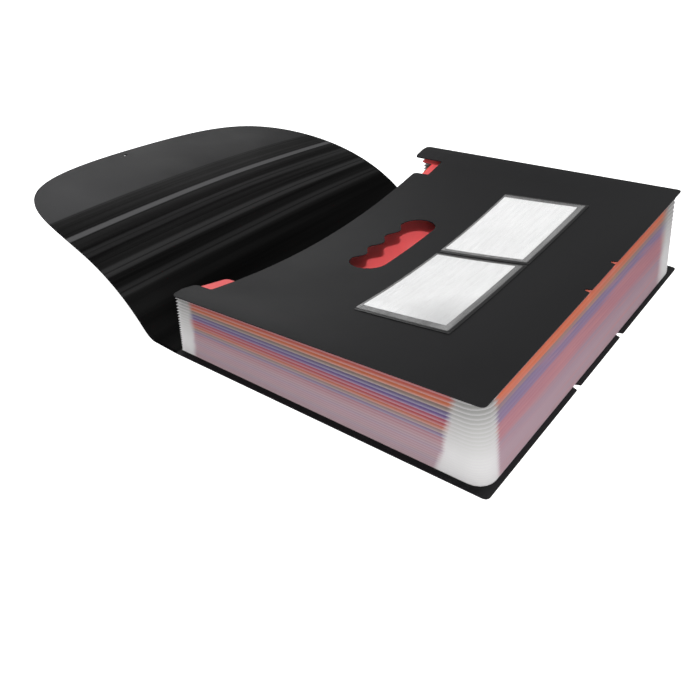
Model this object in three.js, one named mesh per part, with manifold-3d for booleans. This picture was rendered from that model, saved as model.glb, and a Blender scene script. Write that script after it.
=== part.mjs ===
// An expanding file lying open on its back cover. Millimetres, +Z up.
// The origin is the middle of the back cover's underside. +X runs from the mouth to the
// folded bottom, and +Y from the left side to the right side, seen from the bottom.
// Inside this file x is measured from the fold between the back cover and the flap; the group is
// moved at the end.
import * as THREE from 'three';
import { mergeVertices } from 'three/addons/utils/BufferGeometryUtils.js';
import Module from 'manifold-3d';

const wasm = await Module();
wasm.setup();

// Covers
const frontDepth = 234.6;
const backDepth = 244.6;
const panelThickness = 0.8;
const panelCorner = 4;
const backWidth = 337;
const frontWidth = 330;
const clearance = 0.3; // between touching pieces

// Height of the front cover's top face at its corners
const leftMouthHeight = 45.6;
const rightMouthHeight = 54.9;
const leftBottomHeight = 58.2;
const rightBottomHeight = 68.5;

// How far the front cover and the dividers hang in the middle
const mouthSag = 17.7;
const middleSag = 8.8;
const dividerSag = 10.5;

// Front cover's mouth edge: an ear at each side, and a notch beside the right ear
const earLength = 14.5;
const earWidth = 22.5;
const notchWidth = 24;
const notchDepth = 14.5;

// Carrying slot, with finger waves along its mouth side
const slotFromEdge = 58; // to the middle line of the waves
const slotWidth = 27.4; // from there to the straight side
const slotLength = 95.2;
const slotEnd = 13.6;
const waveHeight = 3.1;
const wavePitch = 23.6;

// Small notches in the bottom edges of the covers
const frontNotchSpacing = 44.6;
const frontNotchWidth = 5;
const frontNotchDepth = 4;
const backNotchSpacing = 79;
const backNotchWidth = 7;
const backNotchDepth = 4.5;

// Pleated gusset round three sides
const pleats = 24;
const pleatDepth = 8;
const pleatCrowding = 0.45; // how much closer together the lower pleats lie
const film = 0.3;
const gussetInset = 1.2; // from the front cover's side edges
const gussetFrontInset = 1.1; // from the front cover's bottom edge
const gussetBackInset = 3.4; // from the back cover's bottom edge
const gussetMouthInset = 2;
const gussetCorner = 12;
const arcSteps = 5;

// Dividers
const dividerThickness = 0.3;
const dividerCorner = 22;
const dividerMouthInset = 15.4;
const tabLength = 18.4; // of the top divider
const tabFromSide = 10.3;
const tabWidth = 35.5;
const stubLength = 8.4;
const stubWidth = 11.8;
const dividerNotchWidth = 27.5;
const dividerNotchDepth = 3.1;

// Label pockets and cards on the front cover
const pocketLength = 108.5;
const pocketWidth = 70.6;
const pocketGap = 1.2;
const pocketFromEdge = 110.7;
const pocketWeld = 1.4;
const pocketRise = 0.65;
const pocketFilm = 0.25;
const cardLength = 95.7;
const cardWidth = 62;
const cardThickness = 0.3;
const cardInset = { left: 3.6, right: 6.9 }; // from the line between the pockets
const cardMouthInset = 1.2;

// Flap: the same sheet as the back cover, past its fold
const foldGap = 0.8;
const flapFold = 28; // the flap lies flat up to here, then rises
const flapFoldEase = 6;
const flapRise = 58.9;
const flapRiseLength = 50;
const flapTwist = 9.5;
const flapCrown = 6.2;
const flapReach = 209.9;
const flapShoulderReach = 95.8;
const flapShoulderHalf = 162.9;
const flapCornerAlong = 114.9;
const flapCornerAcross = 113.1;
const flapHoleDiameter = 4;
const flapHoleFromEdge = 9.3;
const flapHoleOffset = -29.6;

// How finely the curved sheets are divided
const coverCells = { along: 12, across: 16 };
const dividerCells = { along: 6, across: 8 };
const flapCells = { along: 9, across: 8 };
const pocketCells = { along: 4, across: 6 };

const { clamp, lerp } = THREE.MathUtils;
const sheetSpace = panelThickness + clearance + film / 2;
const gussetHalf = frontWidth / 2 - gussetInset;
const innerHalf = gussetHalf - pleatDepth - film / 2 - clearance;
const sagEnd = 12; // the hang stops this far before the front cover's bottom edge
const flatDepth = frontDepth - sagEnd;

// Sheets hang as a dish that is flat where the pleats hold them
function dish(y) {
  return clamp(1 - (y / innerHalf) ** 2, 0, 1);
}

function coverSag(x, y) {
  const u = clamp(x / flatDepth, 0, 1);
  return dish(y) * (mouthSag * (1 - u) ** 2 + middleSag * 4 * u * (1 - u));
}

function extraSag(x, y) {
  const u = clamp(x / flatDepth, 0, 1);
  return dividerSag * (1 - u * u) * dish(y) ** 2;
}

// Height of the flat plane through the front cover's corners
function cornerPlane(x, y) {
  const u = x / frontDepth;
  const v = y / frontWidth + 0.5;
  const mouth = lerp(leftMouthHeight, rightMouthHeight, v);
  const bottom = lerp(leftBottomHeight, rightBottomHeight, v);
  return lerp(mouth, bottom, u);
}

function coverTop(x, y) {
  return cornerPlane(x, y) - coverSag(x, y);
}

// Height of the stack of sheets at the share t of its thickness
function level(t, x, y) {
  const top = cornerPlane(x, y) - sheetSpace;
  return sheetSpace + t * (top - sheetSpace - coverSag(x, y) - extraSag(x, y));
}

// Share of the stack's height at the fold number k, counted from the back cover
function pleatShare(k) {
  const t = k / pleats;
  return t * (1 - pleatCrowding * (1 - t));
}

function toManifold(geometry) {
  const bare = geometry.index ? geometry.toNonIndexed() : geometry.clone();
  bare.deleteAttribute('normal');
  bare.deleteAttribute('uv');
  const merged = mergeVertices(bare, 1e-4);
  return new wasm.Manifold(new wasm.Mesh({
    numProp: 3,
    vertProperties: merged.attributes.position.array,
    triVerts: new Uint32Array(merged.index.array),
  }));
}

function toGeometry(solid) {
  const mesh = solid.getMesh();
  const geometry = new THREE.BufferGeometry();
  geometry.setAttribute('position', new THREE.BufferAttribute(mesh.vertProperties, 3));
  geometry.setIndex(new THREE.BufferAttribute(mesh.triVerts, 1));
  geometry.computeVertexNormals();
  return geometry;
}

function spaced(from, to, cells) {
  return Array.from({ length: cells + 1 }, (_, i) => lerp(from, to, i / cells));
}

function indexed(positions, index) {
  const geometry = new THREE.BufferGeometry();
  geometry.setAttribute('position', new THREE.Float32BufferAttribute(positions, 3));
  geometry.setIndex(index);
  return geometry;
}

// A closed slab over the grid of lines, from height(x, y) up by the sheet's thickness
function slab(xs, ys, height, thickness) {
  const positions = [];
  const index = [];
  const step = 0.5;
  for (const share of [0, 1]) {
    for (const x of xs) {
      for (const y of ys) {
        const slope = (height(x + step, y) - height(x - step, y)) / (2 * step);
        positions.push(x, y, height(x, y) + share * thickness * Math.hypot(1, slope));
      }
    }
  }
  const rows = xs.length - 1;
  const columns = ys.length - 1;
  const point = (share, i, j) => (share * xs.length + i) * ys.length + j;
  const quad = (a, b, c, d) => index.push(a, b, c, a, c, d);
  for (let i = 0; i < rows; i += 1) {
    for (let j = 0; j < columns; j += 1) {
      quad(point(1, i, j), point(1, i + 1, j), point(1, i + 1, j + 1), point(1, i, j + 1));
      quad(point(0, i, j), point(0, i, j + 1), point(0, i + 1, j + 1), point(0, i + 1, j));
    }
    quad(point(0, i, 0), point(0, i + 1, 0), point(1, i + 1, 0), point(1, i, 0));
    quad(point(0, i + 1, columns), point(0, i, columns), point(1, i, columns), point(1, i + 1, columns));
  }
  for (let j = 0; j < columns; j += 1) {
    quad(point(0, 0, j + 1), point(0, 0, j), point(1, 0, j), point(1, 0, j + 1));
    quad(point(0, rows, j), point(0, rows, j + 1), point(1, rows, j + 1), point(1, rows, j));
  }
  return indexed(positions, index);
}

// A curved sheet: the slab cut to an outline in plan
function sheet(outline, xs, ys, height, thickness, curveSegments = 4) {
  const depth = 200;
  const prism = new THREE.ExtrudeGeometry(outline, { depth, bevelEnabled: false, curveSegments });
  prism.translate(0, 0, -depth / 4);
  return toGeometry(toManifold(slab(xs, ys, height, thickness)).intersect(toManifold(prism)));
}

// A closed outline through corners [x, y, radius], with each radius as a round
function roundedShape(corners) {
  const shape = new THREE.Shape();
  corners.forEach(([x, y, radius = 0], i) => {
    const corner = new THREE.Vector2(x, y);
    const before = new THREE.Vector2(...corners.at(i - 1).slice(0, 2)).sub(corner).normalize();
    const after = new THREE.Vector2(...corners[(i + 1) % corners.length].slice(0, 2)).sub(corner).normalize();
    const angle = Math.acos(clamp(before.dot(after), -1, 1));
    const cut = radius > 0 ? radius / Math.tan(angle / 2) : 0;
    const start = corner.clone().addScaledVector(before, cut);
    const end = corner.clone().addScaledVector(after, cut);
    if (i === 0) shape.moveTo(start.x, start.y);
    else shape.lineTo(start.x, start.y);
    if (cut > 0) shape.quadraticCurveTo(corner.x, corner.y, end.x, end.y);
  });
  shape.closePath();
  return shape;
}

// Corners of a small notch in a bottom edge at x, centred on y, met with y rising
function bottomNotch(x, y, width, depth) {
  return [[x, y - width / 2], [x - depth, y - width / 4], [x - depth, y + width / 4], [x, y + width / 2]];
}

function slotPath() {
  const straight = slotLength / 2 - slotEnd;
  const waveAt = (y) => slotFromEdge + waveHeight * Math.cos((2 * Math.PI * y) / wavePitch);
  const radius = (slotFromEdge + slotWidth - waveAt(straight)) / 2;
  const middle = slotFromEdge + slotWidth - radius;
  const wavy = spaced(-straight, straight, 28).map((y) => new THREE.Vector2(waveAt(y), y));
  const rounded = (side) => spaced(0, Math.PI, 10).map((turn) => new THREE.Vector2(
    middle - side * radius * Math.cos(turn),
    side * (straight + slotEnd * Math.sin(turn)),
  ));
  return new THREE.Path([...wavy, ...rounded(1).slice(1), ...rounded(-1).slice(0, -1)]);
}

function frontCover() {
  const half = frontWidth / 2;
  const bottom = frontDepth;
  const ear = half - earWidth;
  const notch = ear - notchWidth;
  const fine = panelCorner / 2;
  const outline = roundedShape([
    [0, -half, panelCorner],
    [bottom, -half, panelCorner],
    ...bottomNotch(bottom, -frontNotchSpacing / 2, frontNotchWidth, frontNotchDepth),
    ...bottomNotch(bottom, frontNotchSpacing / 2, frontNotchWidth, frontNotchDepth),
    [bottom, half, panelCorner],
    [0, half, panelCorner],
    [0, ear, panelCorner],
    [earLength + notchDepth, ear, fine],
    [earLength + notchDepth, notch, fine],
    [earLength, notch, panelCorner],
    [earLength, -ear, fine],
    [0, -ear, panelCorner],
  ]);
  outline.holes.push(slotPath());
  const margin = 5;
  const xs = [...spaced(-margin, flatDepth, coverCells.along), bottom + margin];
  const ys = [-half - margin, ...spaced(-innerHalf, innerHalf, coverCells.across), half + margin];
  return sheet(outline, xs, ys, (x, y) => coverTop(x, y) - panelThickness, panelThickness);
}

function backCover() {
  const half = backWidth / 2;
  const outline = roundedShape([
    [foldGap / 2, -half],
    [backDepth, -half, panelCorner],
    ...bottomNotch(backDepth, -backNotchSpacing / 2, backNotchWidth, backNotchDepth),
    ...bottomNotch(backDepth, backNotchSpacing / 2, backNotchWidth, backNotchDepth),
    [backDepth, half, panelCorner],
    [foldGap / 2, half],
  ]);
  return new THREE.ExtrudeGeometry(outline, { depth: panelThickness, bevelEnabled: false });
}

function flapHeight(x, y) {
  const past = -x - flapFold;
  const eased = (past + flapFoldEase) ** 2 / (4 * flapFoldEase);
  const run = past > flapFoldEase ? past : past < -flapFoldEase ? 0 : eased;
  const rise = flapRise * (1 - Math.exp(-run / flapRiseLength));
  const across = y / (frontWidth / 2);
  return rise * (1 - (flapTwist * across + flapCrown * across * across) / flapRise);
}

function flap() {
  const root = backWidth / 2;
  const taper = (flapShoulderHalf - root) / flapShoulderReach;
  const cornerReach = flapShoulderReach + flapCornerAlong;
  const cornerHalf = flapShoulderHalf + taper * flapCornerAlong;
  const outline = new THREE.Shape();
  outline.moveTo(-foldGap / 2, root);
  outline.lineTo(-flapShoulderReach, flapShoulderHalf);
  outline.bezierCurveTo(-cornerReach, cornerHalf, -flapReach, flapCornerAcross, -flapReach, 0);
  outline.bezierCurveTo(
    -flapReach, -flapCornerAcross, -cornerReach, -cornerHalf, -flapShoulderReach, -flapShoulderHalf,
  );
  outline.lineTo(-foldGap / 2, -root);
  outline.closePath();
  const hole = new THREE.Path();
  hole.absarc(-flapReach + flapHoleFromEdge, flapHoleOffset, flapHoleDiameter / 2, 0, 2 * Math.PI);
  outline.holes.push(hole);
  const margin = 5;
  const rises = flapFold + flapFoldEase;
  const curved = spaced(0, 1, flapCells.along).map((s) => lerp(rises, flapReach + margin, s ** 1.5));
  const xs = [-margin, ...spaced(flapFold - flapFoldEase, rises, 4).slice(0, -1), ...curved];
  const ys = spaced(-root - margin, root + margin, flapCells.across);
  return sheet(outline, xs.map((x) => -x).reverse(), ys, flapHeight, panelThickness, 12);
}

// Plan position on the gusset: how far inwards from its outer line, at the share t of the height
function gussetPoint({ side, turn }, inwards, t) {
  const half = gussetHalf - inwards;
  if (turn === undefined) return [gussetMouthInset, side * half];
  const radius = gussetCorner - inwards;
  const x = gussetBottom(t) - gussetCorner + radius * Math.sin(turn);
  return [x, side * (gussetHalf - gussetCorner + radius * Math.cos(turn))];
}

function gussetBottom(t) {
  return lerp(backDepth - gussetBackInset, frontDepth - gussetFrontInset, t);
}

// The gusset's section, anticlockwise: the inner side of the pleats upwards, then the outer side
// downwards. A point is its distance inwards, its share of the height, and a small lift.
function gussetSection() {
  const half = film / 2;
  const crotch = 1.4;
  const section = [[0, 0, -half]];
  for (let k = 0; k < pleats; k += 1) {
    section.push([pleatDepth + half, pleatShare(k), 0]);
    section.push([crotch, pleatShare(k + 0.5), 0]);
  }
  section.push([pleatDepth + half, 1, 0], [0, 1, half], [0, 1, -half]);
  section.push([pleatDepth - 2 * crotch, 1, -half]);
  for (let k = pleats - 1; k >= 0; k -= 1) {
    section.push([-half, pleatShare(k + 0.5), 0]);
    if (k > 0) section.push([pleatDepth - crotch, pleatShare(k), 0]);
  }
  section.push([pleatDepth - 2 * crotch, 0, half], [0, 0, half]);
  return section;
}

function gusset() {
  const section = gussetSection();
  const turns = spaced(Math.PI / 2, 0, arcSteps);
  const stations = [{ side: -1 }];
  for (const turn of [...turns].reverse()) stations.push({ side: -1, turn });
  for (const turn of turns) stations.push({ side: 1, turn });
  stations.push({ side: 1 });
  const positions = stations.flatMap((station) => section.flatMap(([inwards, t, lift]) => {
    const [x, y] = gussetPoint(station, inwards, t);
    return [x, y, level(t, x, y) + lift];
  }));
  const index = [];
  const count = section.length;
  for (let ring = 0; ring < stations.length - 1; ring += 1) {
    for (let i = 0; i < count; i += 1) {
      const a = ring * count + i;
      const b = ring * count + ((i + 1) % count);
      index.push(a, b, b + count, a, b + count, a + count);
    }
  }
  const flatSection = section.map(([inwards, t, lift]) => new THREE.Vector2(inwards, 50 * t + lift));
  const last = (stations.length - 1) * count;
  for (const [a, b, c] of THREE.ShapeUtils.triangulateShape(flatSection, [])) {
    index.push(a, c, b);
    index.push(last + a, last + b, last + c);
  }
  return indexed(positions, index);
}

function dividerOutline(number, mouth, bottom) {
  const shared = [[bottom, -innerHalf, dividerCorner], [bottom, innerHalf, dividerCorner]];
  if (number > 1) {
    return roundedShape([...shared, [mouth, innerHalf, panelCorner], [mouth, -innerHalf, panelCorner]]);
  }
  const fine = panelCorner / 2;
  const stub = innerHalf - stubWidth;
  const notch = stub - dividerNotchWidth;
  const tab = innerHalf - tabFromSide;
  return roundedShape([
    ...shared,
    [mouth - stubLength, innerHalf, fine],
    [mouth - stubLength, stub, fine],
    [mouth + dividerNotchDepth, stub, fine],
    [mouth + dividerNotchDepth, notch, fine / 2],
    [mouth, notch, fine / 2],
    [mouth, tabWidth - tab, fine],
    [mouth - tabLength, tabWidth - tab, panelCorner],
    [mouth - tabLength, -tab, panelCorner],
    [mouth, -tab, fine],
    [mouth, -innerHalf, panelCorner],
  ]);
}

function divider(number) {
  const t = pleatShare(pleats - number);
  const mouth = dividerMouthInset;
  const bottom = gussetBottom(t) - pleatDepth - film / 2 - clearance;
  const margin = 4;
  const start = mouth - margin - (number === 1 ? tabLength : 0);
  const xs = [...spaced(start, flatDepth, dividerCells.along), bottom + margin];
  const ys = spaced(-innerHalf - 0.1, innerHalf + 0.1, dividerCells.across);
  const height = (x, y) => level(t, x, y) - dividerThickness / 2;
  return sheet(dividerOutline(number, mouth, bottom), xs, ys, height, dividerThickness);
}

function pocketBox(side) {
  const x0 = pocketFromEdge;
  const y0 = side < 0 ? -pocketGap / 2 - pocketLength : pocketGap / 2;
  return { x0, x1: x0 + pocketWidth, y0, y1: y0 + pocketLength };
}

function rectangle({ x0, x1, y0, y1 }, radius) {
  return roundedShape([[x0, y0, radius], [x1, y0, radius], [x1, y1, radius], [x0, y1, radius]]);
}

// The film is welded on three sides and open towards the mouth
function labelPocket(side) {
  const box = pocketBox(side);
  const weld = pocketWeld;
  const height = (x, y) => {
    const inwards = Math.min(box.x1 - x, y - box.y0, box.y1 - y) - weld;
    return coverTop(x, y) + clearance + pocketRise * clamp(inwards / weld, 0, 1);
  };
  const xs = [box.x0 - 1, ...spaced(box.x0 + 2 * weld, box.x1 - 2 * weld, pocketCells.along)];
  xs.push(box.x1 - weld, box.x1 + 1);
  const ys = [box.y0 - 1, box.y0 + weld, ...spaced(box.y0 + 2 * weld, box.y1 - 2 * weld, pocketCells.across)];
  ys.push(box.y1 - weld, box.y1 + 1);
  return sheet(rectangle(box, 1), xs, ys, height, pocketFilm);
}

function labelCard(side) {
  const box = pocketBox(side);
  const x0 = box.x0 + cardMouthInset;
  const y0 = side < 0 ? box.y1 - cardInset.left - cardLength : box.y0 + cardInset.right;
  const card = { x0, x1: x0 + cardWidth, y0, y1: y0 + cardLength };
  const xs = spaced(card.x0 - 1, card.x1 + 1, pocketCells.along);
  const ys = spaced(card.y0 - 1, card.y1 + 1, pocketCells.across);
  const height = (x, y) => coverTop(x, y) + clearance;
  return sheet(rectangle(card, 0.8), xs, ys, height, cardThickness);
}

function plastic(color, roughness, opacity = 1) {
  const transparent = opacity < 1;
  return new THREE.MeshStandardMaterial({ color, roughness, metalness: 0, opacity, transparent });
}

const materials = {
  cover: plastic(0x3a3a3a, 0.45),
  gusset: plastic(0xe8e6ea, 0.35, 0.5),
  pocket: plastic(0xb8bcc0, 0.15, 0.4),
  card: plastic(0xf4f5f5, 0.8),
};
const dividerColours = [0xd04a4e, 0xe07a3c, 0x8c9078, 0x5860a8, 0xc85a88];

function named(name, geometry, material) {
  const mesh = new THREE.Mesh(geometry, material);
  mesh.name = name;
  return mesh;
}

const file = new THREE.Group();
file.add(named('back_cover', backCover(), materials.cover));
file.add(named('flap', flap(), materials.cover));
file.add(named('front_cover', frontCover(), materials.cover));
file.add(named('gusset', gusset(), materials.gusset));
for (let number = 1; number < pleats; number += 1) {
  const colour = dividerColours[(number - 1) % dividerColours.length];
  const name = `divider_${String(number).padStart(2, '0')}`;
  file.add(named(name, divider(number), plastic(colour, 0.4)));
}
for (const [side, word] of [[-1, 'left'], [1, 'right']]) {
  file.add(named(`label_pocket_${word}`, labelPocket(side), materials.pocket));
  file.add(named(`label_card_${word}`, labelCard(side), materials.card));
}
file.position.x = -backDepth / 2;

export default file;
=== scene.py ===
# An expanding file lying open on its back cover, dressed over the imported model.
# Metres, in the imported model's frame: +X from the mouth to the folded bottom, +Z up.
import bmesh
import bpy
import math
from mathutils import Euler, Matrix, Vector


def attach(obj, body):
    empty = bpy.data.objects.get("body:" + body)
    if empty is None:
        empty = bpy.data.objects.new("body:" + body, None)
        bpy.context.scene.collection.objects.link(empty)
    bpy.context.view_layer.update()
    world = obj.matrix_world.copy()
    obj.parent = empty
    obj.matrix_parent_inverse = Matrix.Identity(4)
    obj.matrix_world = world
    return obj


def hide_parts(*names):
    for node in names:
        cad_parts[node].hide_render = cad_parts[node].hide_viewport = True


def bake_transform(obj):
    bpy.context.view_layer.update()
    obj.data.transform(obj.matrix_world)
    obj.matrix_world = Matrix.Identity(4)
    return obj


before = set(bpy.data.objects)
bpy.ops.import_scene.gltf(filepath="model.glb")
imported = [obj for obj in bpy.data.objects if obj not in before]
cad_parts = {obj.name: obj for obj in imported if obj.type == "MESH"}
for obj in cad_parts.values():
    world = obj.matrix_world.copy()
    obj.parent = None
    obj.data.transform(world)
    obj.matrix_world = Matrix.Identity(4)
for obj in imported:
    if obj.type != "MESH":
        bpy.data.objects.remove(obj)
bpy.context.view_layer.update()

# Sizes of the file, in metres
front_depth = 0.2346
back_depth = 0.2446
fold_x = -back_depth / 2
front_width = 0.330
sheet_thickness = 0.0008
sheet_space = 0.00125

# The front cover's top face: its height at the left and right corners, and how it hangs between them
mouth_heights = (0.0456, 0.0549)
bottom_heights = (0.0582, 0.0685)
mouth_hang = 0.0177
middle_hang = 0.0088
inner_half = 0.15535
flat_depth = 0.2226

# Gusset and dividers. The clear corners fade into the bottom's colours between the two distances from the
# gusset's side in near_corner and far_corner, and the sides' colours end side_depth from the fold, less
# side_lean for each pleat further down
pleats = 24
pleat_crowding = 0.45
gusset_half = 0.1638
side_depth = 0.2145
side_lean = -0.00025
near_corner = (0.013, 0.018)
far_corner = (0.018, 0.034)
ragged_edge = 0.003
divider_mouth = 0.0154

# From pleat to pleat down the film's sides the colour moves on by this share of a divider, until it lags
# two dividers behind, and below that by one divider
upper_share = 0.714
upper_lag = 2.0

# Pleats from the top over which the sides fade to mauve, and over which the bottom face changes colour
side_fade = (7.5, 13.5)
bottom_fade = 16.0

# A label pocket is welded up to this height over the front cover, and clear of it this much higher
weld_height = 0.0006
lift_height = 0.0004

# A corner of the left card with painted shade, which turns grey out to this distance
painted_shade_corner = (0.0516, -0.0999, 0.05)
painted_shade_corner_radius = 0.045

# Flap: it lies flat up to its fold and then rises by flap_rise in a curve, and its outline runs from the
# shoulders past the corners to the tip
flap_root_half = 0.1685
flap_root_overlap = 0.0004
flap_fold = 0.028
flap_fold_ease = 0.006
flap_rise = 0.0589
flap_rise_length = 0.05
flap_twist = 0.0095
flap_crown = 0.0062
flap_reach = 0.2099
flap_shoulder = (0.0958, 0.1629)
flap_corner = (0.2107, 0.1562)
flap_tip_half = 0.1131
flap_hole = (0.2006, -0.0296)
flap_hole_radius = 0.002
flap_segments = 150

# The flap is creased from its fold to between these two lines, and less so from faint_from down to
# faint_to, all in mm from its fold
creased_to = (136, 140)
faint_from = 70
faint_to = 25

# Pressed lines across the flap, in mm from its fold
crease_places = (137.7, 117, 109.8, 94, 83, 73.1, 56.7)

# Lighter bands across the flap: mm from its fold, strength, half width as a share of its reach
crease_bands = ((113.4, 0.75, 0.014), (94, 0.12, 0.02), (73.1, 0.16, 0.02), (56.7, 0.1, 0.018))

# Camera, as the photograph was taken: angles in degrees
camera_lens = 40.31
camera_down = 33.97
camera_turn = 35.8
camera_roll = 0.3
camera_place = (0.2427, -0.4656, 0.3098)

# The surroundings' strength for everything but the camera, and the floor's glow that only the camera sees
world_light = 0.4
floor_glow = 0.92


def srgb(r, g, b):
    """Linear colour of an sRGB colour given from 0 to 255."""
    def channel(c):
        c = c / 255
        return c / 12.92 if c <= 0.04045 else ((c + 0.055) / 1.055) ** 2.4
    return (channel(r), channel(g), channel(b), 1.0)


def grey(value):
    """A grey of this linear brightness."""
    return (value, value, value, 1.0)


def clamp(value):
    """A value held between 0 and 1."""
    return max(0.0, min(1.0, value))


# Tints and shades of the dividers, in the order in which they repeat from the top one
divider_tints = {
    "red": (srgb(255, 124, 126), srgb(248, 112, 114)),
    "orange": (srgb(232, 122, 66), srgb(220, 104, 52)),
    "green": (srgb(150, 152, 128), srgb(136, 138, 112)),
    "blue": (srgb(88, 92, 172), srgb(76, 80, 158)),
    "pink": (srgb(212, 92, 132), srgb(196, 80, 118)),
}
divider_cycle = list(divider_tints)

# The same cycle as it shows through the film's sides, and the colour in which it ends
side_tints = (
    srgb(204, 106, 108), srgb(214, 134, 98), srgb(160, 148, 142), srgb(124, 112, 172), srgb(200, 108, 128),
)
mauve = srgb(206, 178, 190)


def corner_plane(x, y):
    """Height of the smooth surface through the front cover's corners, x measured from the fold."""
    u = x / front_depth
    v = y / front_width + 0.5
    mouth = mouth_heights[0] + (mouth_heights[1] - mouth_heights[0]) * v
    bottom = bottom_heights[0] + (bottom_heights[1] - bottom_heights[0]) * v
    return mouth + (bottom - mouth) * u


def cover_top(x, y):
    """Height of the front cover's top face, which hangs like a dish between its edges."""
    dish = clamp(1 - (y / inner_half) ** 2)
    u = clamp(x / flat_depth)
    return corner_plane(x, y) - dish * (mouth_hang * (1 - u) ** 2 + middle_hang * 4 * u * (1 - u))


def pleat_number(point):
    """Which pleat a point of the gusset lies on, counted with a fraction from the back cover."""
    top = corner_plane(point.x - fold_x, point.y) - sheet_space
    share = clamp((point.z - sheet_space) / (top - sheet_space))
    even = 1 - pleat_crowding
    root = math.sqrt(even * even + 4 * pleat_crowding * share)
    return pleats * (root - even) / (2 * pleat_crowding)


def flap_height(x, y):
    """Height of the flap's underside, x measured from the fold, negative over the flap."""
    past = -x - flap_fold
    if past > flap_fold_ease:
        run = past
    elif past < -flap_fold_ease:
        run = 0.0
    else:
        run = (past + flap_fold_ease) ** 2 / (4 * flap_fold_ease)
    rise = flap_rise * (1 - math.exp(-run / flap_rise_length))
    across = y / (front_width / 2)
    return rise * (1 - (flap_twist * across + flap_crown * across * across) / flap_rise)


class Tree:
    """A short way to add and join a material's shader nodes."""

    def __init__(self, name):
        self.material = bpy.data.materials.new(name)
        self.material.use_nodes = True
        self.tree = self.material.node_tree
        self.tree.nodes.clear()
        self.output = self.add("ShaderNodeOutputMaterial")

    def add(self, kind, inputs=None, **settings):
        node = self.tree.nodes.new(kind)
        for key, value in settings.items():
            setattr(node, key, value)
        for key, value in (inputs or {}).items():
            self.set(node.inputs[key], value)
        return node

    def set(self, socket, value):
        if isinstance(value, bpy.types.NodeSocket):
            self.tree.links.new(value, socket)
        else:
            socket.default_value = value

    def object_coordinates(self):
        return self.add("ShaderNodeTexCoord").outputs["Object"]

    def x_and_y(self):
        split = self.add("ShaderNodeSeparateXYZ", {"Vector": self.object_coordinates()})
        return split.outputs["X"], split.outputs["Y"]

    def attribute(self, name):
        return self.add("ShaderNodeAttribute", attribute_name=name).outputs["Fac"]

    def math(self, operation, a, b=0.0):
        node = self.add("ShaderNodeMath", operation=operation)
        self.set(node.inputs[0], a)
        self.set(node.inputs[1], b)
        return node.outputs[0]

    def plus(self, a, b):
        return self.math("ADD", a, b)

    def minus(self, a, b):
        return self.math("SUBTRACT", a, b)

    def times(self, a, b):
        return self.math("MULTIPLY", a, b)

    def larger(self, a, b):
        return self.math("MAXIMUM", a, b)

    def ramp(self, factor, stops):
        node = self.add("ShaderNodeValToRGB", {"Fac": factor})
        elements = node.color_ramp.elements
        while len(elements) < len(stops):
            elements.new(0.5)
        for element, (place, colour) in zip(elements, stops):
            element.position = place
            element.color = colour
        return node.outputs["Color"]

    def noise(self, scale, detail, vector=None, roughness=0.5):
        vector = vector or self.object_coordinates()
        settings = {"Vector": vector, "Scale": scale, "Detail": detail, "Roughness": roughness}
        return self.add("ShaderNodeTexNoise", settings).outputs["Fac"]

    def streaks(self, scale, detail, roughness=0.5):
        """Noise with a scale of its own along each axis."""
        mapping = self.add("ShaderNodeMapping", {"Vector": self.object_coordinates(), "Scale": scale})
        return self.noise(1, detail, mapping.outputs["Vector"], roughness)

    def span(self, value, low, high, to_low=0.0, to_high=1.0):
        """A value between low and high, carried over to the range from to_low to to_high."""
        node = self.add("ShaderNodeMapRange")
        for socket, given in zip(node.inputs, (value, low, high, to_low, to_high)):
            self.set(socket, given)
        return node.outputs["Result"]

    def mix(self, factor, a, b, blend="MIX"):
        node = self.add("ShaderNodeMix", data_type="RGBA", blend_type=blend)
        for place, value in ((0, factor), (6, a), (7, b)):
            self.set(node.inputs[place], value)
        return node.outputs[2]

    def bump(self, height, strength, distance):
        settings = {"Height": height, "Strength": strength, "Distance": distance}
        return self.add("ShaderNodeBump", settings).outputs["Normal"]

    def principled(self, colour, roughness, normal=None, gloss=None):
        settings = {"Base Color": colour, "Roughness": roughness}
        if normal is not None:
            settings["Normal"] = normal
        if gloss is not None:
            settings["Specular IOR Level"] = gloss
        return self.add("ShaderNodeBsdfPrincipled", settings).outputs[0]

    def translucent(self, colour, normal):
        return self.add("ShaderNodeBsdfTranslucent", {"Color": colour, "Normal": normal}).outputs[0]

    def blend(self, factor, a, b):
        return self.add("ShaderNodeMixShader", {0: factor, 1: a, 2: b}).outputs[0]

    def finish(self, shader):
        self.tree.links.new(shader, self.output.inputs["Surface"])
        return self.material


def place_of(from_fold):
    """Place along the flap's ramps, 0 at its tip and 1 at the fold, of a line this many mm away."""
    return 1 - from_fold / 1000 / flap_reach


def line_stops(half_width, beside, on_line):
    """Ramp stops for a narrow line at each crease of the flap."""
    stops = [(0.0, grey(beside))]
    for from_fold in crease_places:
        place = place_of(from_fold)
        stops += [(place - half_width, grey(beside)), (place, grey(on_line))]
        stops += [(place + half_width, grey(beside))]
    return stops


def band_stops():
    """Ramp stops for the lighter bands across the flap."""
    stops = [(0.0, grey(0))]
    for from_fold, light, half_width in crease_bands:
        place = place_of(from_fold)
        full = half_width * 0.7
        stops += [(place - half_width, grey(0)), (place - full, grey(light))]
        stops += [(place + full, grey(light)), (place + half_width, grey(0))]
    return stops


def charcoal_sheet(name, creased=False):
    """Satin charcoal polypropylene with a fine moulded grain, and for the flap with its creases and
    painted light on its tip.
    """
    tree = Tree(name)
    clouds = tree.noise(14, 3)
    rough = tree.span(clouds, 0.3, 0.7, 0.42, 0.5)
    height = tree.times(tree.noise(1400, 3), 0.25)
    if creased:
        colour, gloss, height = creases(tree, height)
    else:
        colour = tree.mix(clouds, srgb(26, 26, 27), srgb(33, 33, 34))
        gloss = 0.06
    normal = tree.bump(height, strength=0.35, distance=0.0003)
    return tree.finish(tree.principled(colour, rough, normal, gloss))


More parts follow.
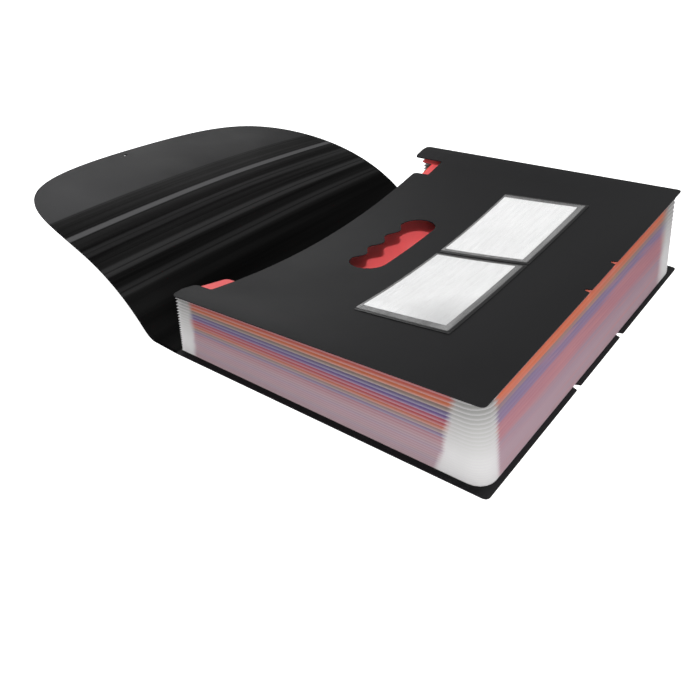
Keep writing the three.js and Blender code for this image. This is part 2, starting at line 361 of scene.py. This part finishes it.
def creases(tree, height):
    """Colour, gloss and height of the flap, whose part near the fold is creased across, with painted light
    that makes its smooth tip lighter towards the -Y side.
    """
    x, y = tree.x_and_y()
    along = tree.span(x, fold_x - flap_reach, fold_x)
    warp = tree.span(tree.streaks((6, 4, 4), 1), 0, 1, -0.012, 0.012)
    band = tree.plus(along, warp)
    zone_start = [(0.0, grey(0)), (place_of(creased_to[1]), grey(0)), (place_of(creased_to[0]), grey(1))]
    zone = tree.ramp(band, zone_start + [(1.0, grey(1))])
    worked = tree.ramp(band, zone_start + [
        (place_of(faint_from), grey(1)), (place_of(faint_to), grey(0.15)), (1.0, grey(0.1)),
    ])
    folds = tree.times(tree.span(tree.streaks((115, 2.0, 2.0), 2, 0.4), 0.38, 0.62), worked)
    lines = tree.times(tree.span(tree.streaks((420, 4.0, 4.0), 3, 0.6), 0.4, 0.62), worked)
    height = tree.plus(height, tree.times(folds, 1.6))
    height = tree.plus(height, tree.times(lines, 0.3))
    height = tree.plus(height, tree.times(tree.ramp(band, line_stops(0.006, 0.5, 0.1)), 2.0))
    # Painted light: the flap's smooth tip is lighter towards its -Y side
    tip = tree.mix(tree.span(y, -0.11, -0.03), srgb(50, 50, 51), srgb(22, 22, 23))
    colour = tree.mix(zone, tip, srgb(4, 4, 4))
    colour = tree.mix(tree.times(folds, 0.8), colour, srgb(26, 26, 26))
    colour = tree.mix(tree.times(lines, 0.12), colour, srgb(40, 40, 40))
    colour = tree.mix(tree.ramp(band, band_stops()), colour, srgb(84, 84, 85))
    colour = tree.mix(tree.ramp(band, line_stops(0.003, 0, 0.9)), colour, srgb(3, 3, 3))
    gloss = tree.span(zone, 0.0, 1.0, 0.05, 0.02)
    return colour, gloss, height


def tinted_sheet(name, tint, shade):
    """Translucent coloured polypropylene sheet."""
    tree = Tree(name)
    colour = tree.mix(tree.noise(25, 2), shade, tint)
    normal = tree.bump(tree.noise(1200, 2), strength=0.2, distance=0.0002)
    body = tree.principled(colour, 0.38, normal)
    return tree.finish(tree.blend(0.45, body, tree.translucent(tint, normal)))


def on_bottom_face(tree, y):
    """1 between the gusset's two sides, 0 over the sides and the clear corners."""
    near_end = tree.span(y, -gusset_half + near_corner[0], -gusset_half + near_corner[1])
    wavy = tree.plus(y, tree.times(tree.noise(60, 2), 0.008))
    far_end = tree.span(wavy, gusset_half - far_corner[0], gusset_half - far_corner[1])
    return tree.times(near_end, far_end)


def over_dividers(tree, x, from_top, on_bottom):
    """1 where a divider lies behind the film, 0 at the mouth's ends and at the clear corners."""
    ragged = tree.span(tree.noise(90, 2), 0, 1, -ragged_edge, ragged_edge)
    mouth_x = fold_x + divider_mouth
    past_mouth = tree.span(tree.plus(x, ragged), mouth_x - 0.003, mouth_x + 0.001)
    side_end = fold_x + side_depth
    lean = tree.times(from_top, side_lean)
    leaning = tree.minus(x, tree.plus(lean, ragged))
    before_corner = tree.span(leaning, side_end + 0.002, side_end - 0.002)
    return tree.times(past_mouth, tree.larger(before_corner, on_bottom))


def side_colours(tree, from_top):
    """The dividers' colours on the sides, which fade to mauve further down."""
    stops = []
    for number, colour in enumerate(side_tints):
        start = number / len(side_tints)
        stops += [(start + 0.05, colour), (start + 0.15, colour)]
    drawn_out = tree.larger(tree.times(from_top, upper_share), tree.minus(from_top, upper_lag))
    cycles = tree.math("DIVIDE", tree.larger(drawn_out, 0.0), float(len(side_tints)))
    tint = tree.ramp(tree.math("FRACT", cycles), stops)
    wander = tree.span(tree.streaks((5, 5, 900), 3), 0, 1, -1.5, 1.5)
    fade = tree.span(tree.plus(from_top, wander), side_fade[0], side_fade[1], 1.0, 0.12)
    return tree.mix(fade, mauve, tint)


def bottom_colours(tree, from_top):
    """The dividers' colours on the bottom face, where they run into each other, with fine threads."""
    wander = tree.span(tree.streaks((5, 3, 260), 3), 0, 1, -1.6, 1.6)
    colours = tree.ramp(tree.span(tree.plus(from_top, wander), 0.0, bottom_fade), [
        (0.0, srgb(232, 118, 96)), (0.04, srgb(238, 146, 108)), (0.12, srgb(238, 146, 108)),
        (0.19, srgb(186, 164, 150)), (0.27, srgb(164, 144, 184)), (0.37, srgb(164, 144, 184)),
        (0.46, srgb(208, 148, 162)), (0.66, srgb(208, 148, 162)), (0.78, srgb(192, 166, 184)),
        (1.0, mauve),
    ])
    threads = tree.span(tree.streaks((5, 4, 800), 2), 0.5, 0.66, 0.0, 0.45)
    return tree.mix(threads, colours, srgb(226, 164, 166))


def pleated_film():
    """Frosted film, coloured by the dividers behind it, with painted shade that darkens it towards the
    top, a painted highlight along each fold's crest and painted shade in the hollows between folds.
    """
    tree = Tree("pleated_film")
    pleat = tree.attribute("pleat_number")
    from_top = tree.minus(float(pleats), pleat)
    x, y = tree.x_and_y()
    on_bottom = on_bottom_face(tree, y)
    inside = over_dividers(tree, x, from_top, on_bottom)
    # The frosted film's own colour, with painted shade that darkens it towards the top, under the front
    # cover
    frost_with_painted_shade = tree.ramp(tree.span(from_top, 0.0, float(pleats)), [
        (0.0, srgb(172, 172, 170)), (0.25, srgb(220, 220, 218)),
        (0.6, srgb(247, 247, 246)), (1.0, srgb(252, 252, 251)),
    ])
    behind = tree.mix(on_bottom, side_colours(tree, from_top), bottom_colours(tree, from_top))
    colour = tree.mix(tree.times(inside, 0.95), frost_with_painted_shade, behind)
    # Painted highlight along each fold's crest and painted shade in the hollows between folds, stronger on
    # the sides than on the bottom face
    from_crest = tree.math("ABSOLUTE", tree.minus(tree.math("FRACT", pleat), 0.5))
    lined = tree.span(on_bottom, 0.0, 1.0, 1.0, 0.3)
    light = tree.times(lined, tree.span(inside, 0.0, 1.0, 0.8, 0.45))
    colour = tree.mix(tree.times(tree.span(from_crest, 0.12, 0.0), light), colour, srgb(244, 242, 244))
    valley_shade = tree.times(tree.span(from_crest, 0.3, 0.5), tree.times(lined, 0.5))
    colour = tree.mix(valley_shade, colour, tree.mix(1.0, colour, srgb(150, 140, 146), "MULTIPLY"))
    normal = tree.bump(tree.noise(500, 2), strength=0.15, distance=0.0002)
    body = tree.principled(colour, 0.3, normal)
    return tree.finish(tree.blend(0.2, body, tree.translucent(colour, normal)))


def clear_film():
    """Clear film, with a painted sheen where it stands off the cover, streaky in strength, and pressed
    dark along its weld.
    """
    tree = Tree("clear_film")
    raised = tree.attribute("raised")
    # Painted sheen: a pale layer mixed in where the film stands off the cover, standing in for its
    # reflection
    sheen_streaks = tree.streaks((260, 24, 24), 3)
    painted_sheen = tree.times(raised, tree.span(sheen_streaks, 0.3, 0.7, 0.10, 0.18))
    clear = tree.add("ShaderNodeBsdfTransparent", {"Color": grey(0.98)}).outputs[0]
    normal = tree.bump(tree.noise(90, 2), strength=0.1, distance=0.0004)
    sheen_white = tree.principled(srgb(236, 236, 236), 0.18, normal)
    pressed = tree.principled(srgb(6, 6, 7), 0.35)
    weld = tree.span(raised, 0.3, 0.8, 0.95, 0.0)
    return tree.finish(tree.blend(weld, tree.blend(painted_sheen, clear, sheen_white), pressed))


def plain_card():
    """Smooth white card with a faint fibre, and painted shade that turns the left card's near corner grey.
    """
    tree = Tree("plain_card")
    fibre = tree.streaks((500, 60, 60), 3)
    colour = tree.mix(tree.noise(22, 2), srgb(236, 237, 237), srgb(248, 248, 248))
    colour = tree.mix(tree.span(fibre, 0.4, 0.7, 0, 0.2), colour, srgb(222, 222, 222))
    # Painted shade: the left card's near corner turns grey out to a given distance
    points = {0: tree.object_coordinates(), 1: painted_shade_corner}
    away = tree.add("ShaderNodeVectorMath", points, operation="DISTANCE").outputs["Value"]
    card_shade = tree.span(away, painted_shade_corner_radius, 0.0, 0.0, 0.8)
    colour = tree.mix(card_shade, colour, srgb(172, 173, 174))
    return tree.finish(tree.principled(colour, 0.7, tree.bump(fibre, strength=0.05, distance=0.0001)))


def paint(obj, material):
    obj.data.materials.clear()
    obj.data.materials.append(material)


def smooth_copy(node, name, material, crisp=30):
    """A merged, smooth-shaded copy of a CAD sheet that stands for its node, sharp past crisp degrees."""
    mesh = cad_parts[node].data.copy()
    mesh.name = name
    shape = bmesh.new()
    shape.from_mesh(mesh)
    bmesh.ops.remove_doubles(shape, verts=shape.verts, dist=1e-6)
    for face in shape.faces:
        face.smooth = True
    for edge in shape.edges:
        edge.smooth = len(edge.link_faces) == 2 and edge.calc_face_angle(0) < math.radians(crisp)
    shape.to_mesh(mesh)
    shape.free()
    piece = bpy.data.objects.new(name, mesh)
    bpy.context.collection.objects.link(piece)
    paint(piece, material)
    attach(piece, "file")
    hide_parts(node)
    return piece


def vertex_values(obj, name, value_at):
    """Stores a number on each vertex, for the material to read."""
    layer = obj.data.attributes.new(name, "FLOAT", "POINT")
    layer.data.foreach_set("value", [value_at(vertex.co) for vertex in obj.data.vertices])


def make_camera():
    data = bpy.data.cameras.new("camera")
    data.sensor_width = 36
    data.lens = camera_lens
    data.clip_start = 0.01
    camera = bpy.data.objects.new("camera", data)
    turn = Euler((math.radians(90 - camera_down), 0, math.radians(camera_turn))).to_matrix()
    roll = Euler((0, 0, math.radians(camera_roll))).to_matrix()
    camera.rotation_euler = (turn @ roll).to_euler()
    camera.location = camera_place
    bpy.context.collection.objects.link(camera)
    bpy.context.scene.camera = camera
    bpy.context.scene.view_settings.view_transform = "Standard"


def area_light(name, place, target, size, power):
    """A rectangular lamp of this many watts that faces its target."""
    data = bpy.data.lights.new(name, "AREA")
    data.shape = "RECTANGLE"
    data.size, data.size_y = size
    data.energy = power
    light = bpy.data.objects.new(name, data)
    light.location = place
    light.rotation_euler = (Vector(target) - Vector(place)).to_track_quat("-Z", "Y").to_euler()
    bpy.context.collection.objects.link(light)


def make_studio():
    area_light("overhead", (0, 0, 1.5), (0, 0, 0), (0.16, 0.16), 13)
    area_light("back_left", (-1.3, 0.9, 0.7), (-0.1, 0, 0.05), (0.8, 0.6), 3.5)
    area_light("front", (1.0, -1.1, 0.35), (0, 0, 0.03), (1.0, 0.5), 21)
    world = bpy.data.worlds.new("studio")
    world.use_nodes = True
    nodes, links = world.node_tree.nodes, world.node_tree.links
    nodes["Background"].inputs["Color"].default_value = (1, 1, 1, 1)
    rays = nodes.new("ShaderNodeLightPath")
    seen = nodes.new("ShaderNodeMath")
    seen.operation = "MAXIMUM"
    links.new(rays.outputs["Is Camera Ray"], seen.inputs[0])
    links.new(rays.outputs["Is Transmission Ray"], seen.inputs[1])
    strength = nodes.new("ShaderNodeMapRange")
    strength.inputs["To Min"].default_value = world_light
    strength.inputs["To Max"].default_value = 1.0
    links.new(seen.outputs[0], strength.inputs["Value"])
    links.new(strength.outputs["Result"], nodes["Background"].inputs["Strength"])
    bpy.context.scene.world = world


def make_floor():
    """A pale floor just under the file, which glows so that it runs into the white background."""
    shape = bmesh.new()
    bmesh.ops.create_grid(shape, x_segments=1, y_segments=1, size=4)
    mesh = bpy.data.meshes.new("floor")
    shape.to_mesh(mesh)
    shape.free()
    floor = bpy.data.objects.new("floor", mesh)
    floor.location.z = -0.0003
    bpy.context.collection.objects.link(floor)
    tree = Tree("pale_floor")
    rays = tree.add("ShaderNodeLightPath")
    seen = tree.larger(rays.outputs["Is Camera Ray"], rays.outputs["Is Transmission Ray"])
    matt = tree.add("ShaderNodeBsdfDiffuse", {"Color": grey(0.75)})
    glow = tree.add("ShaderNodeEmission", {"Color": grey(1), "Strength": tree.times(seen, floor_glow)})
    both = tree.add("ShaderNodeAddShader", {0: matt.outputs[0], 1: glow.outputs[0]})
    paint(floor, tree.finish(both.outputs[0]))


def flap_tip(share):
    """A point on the flap's rounded tip, from its -Y shoulder at 0 to its +Y shoulder at 1."""
    side = -1 if share < 0.5 else 1
    t = 1 - 2 * abs(share - 0.5)
    points = (flap_shoulder, flap_corner, (flap_reach, flap_tip_half), (flap_reach, 0.0))
    weights = ((1 - t) ** 3, 3 * t * (1 - t) ** 2, 3 * t * t * (1 - t), t ** 3)
    reach = sum(w * p[0] for w, p in zip(weights, points))
    half = sum(w * p[1] for w, p in zip(weights, points))
    return (reach, side * half)


def flap_plan(along, across):
    """Plan position of a point of the flap, spanned from the fold's line to the tip."""
    reach, half = flap_tip(across)
    root_y = flap_root_half * (2 * across - 1)
    return (-(along * reach - (1 - along) * flap_root_overlap), root_y + along * (half - root_y))


def make_flap():
    """The flap as one thin creased sheet, with its small hole, bending at the fold."""
    shape = bmesh.new()
    bmesh.ops.create_grid(shape, x_segments=flap_segments, y_segments=flap_segments, size=0.5)
    for vertex in shape.verts:
        x, y = flap_plan(vertex.co.x + 0.5, vertex.co.y + 0.5)
        vertex.co = (x, y, 0)
    hole = Vector((-flap_hole[0], flap_hole[1], 0))
    doomed = [f for f in shape.faces if (f.calc_center_median() - hole).length < flap_hole_radius * 0.95]
    bmesh.ops.delete(shape, geom=doomed, context="FACES")
    for vertex in shape.verts:
        offset = vertex.co - hole
        if vertex.is_boundary and offset.length < flap_hole_radius * 2:
            vertex.co = hole + offset.normalized() * flap_hole_radius
    for vertex in shape.verts:
        vertex.co.z = flap_height(vertex.co.x, vertex.co.y) + sheet_thickness / 2
    bmesh.ops.recalc_face_normals(shape, faces=shape.faces)
    if sum(face.normal.z for face in shape.faces) < 0:
        bmesh.ops.reverse_faces(shape, faces=shape.faces)
    for face in shape.faces:
        face.smooth = True
    bmesh.ops.translate(shape, verts=shape.verts, vec=(fold_x, 0, 0))
    mesh = bpy.data.meshes.new("flap_sheet")
    shape.to_mesh(mesh)
    shape.free()
    piece = bpy.data.objects.new("flap_sheet", mesh)
    bpy.context.collection.objects.link(piece)
    wall = piece.modifiers.new("wall", "SOLIDIFY")
    wall.thickness = sheet_thickness
    wall.offset = 0
    wall.use_even_offset = True
    paint(piece, charcoal_sheet("creased_charcoal_sheet", creased=True))
    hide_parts("flap")
    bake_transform(piece)


def make_covers():
    charcoal = charcoal_sheet("charcoal_sheet")
    paint(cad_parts["back_cover"], charcoal)
    smooth_copy("front_cover", "front_cover_sheet", charcoal)


def make_dividers():
    materials = {name: tinted_sheet(f"{name}_sheet", *tints) for name, tints in divider_tints.items()}
    for number in range(1, pleats):
        colour = divider_cycle[(number - 1) % len(divider_cycle)]
        smooth_copy(f"divider_{number:02d}", f"{colour}_divider_{number:02d}", materials[colour])


def make_gusset():
    piece = smooth_copy("gusset", "pleated_gusset", pleated_film(), crisp=40)
    vertex_values(piece, "pleat_number", pleat_number)


def stand_off(point):
    """How far a point of a label pocket stands off the front cover: 0 on the weld, 1 clear of it."""
    return clamp((point.z - cover_top(point.x - fold_x, point.y) - weld_height) / lift_height)


def make_labels():
    film = clear_film()
    card = plain_card()
    for side in ("left", "right"):
        smooth_copy(f"label_card_{side}", f"card_{side}", card)
        pocket = smooth_copy(f"label_pocket_{side}", f"pocket_film_{side}", film)
        vertex_values(pocket, "raised", stand_off)


make_camera()
make_studio()
make_floor()
make_covers()
make_flap()
make_dividers()
make_gusset()
make_labels()
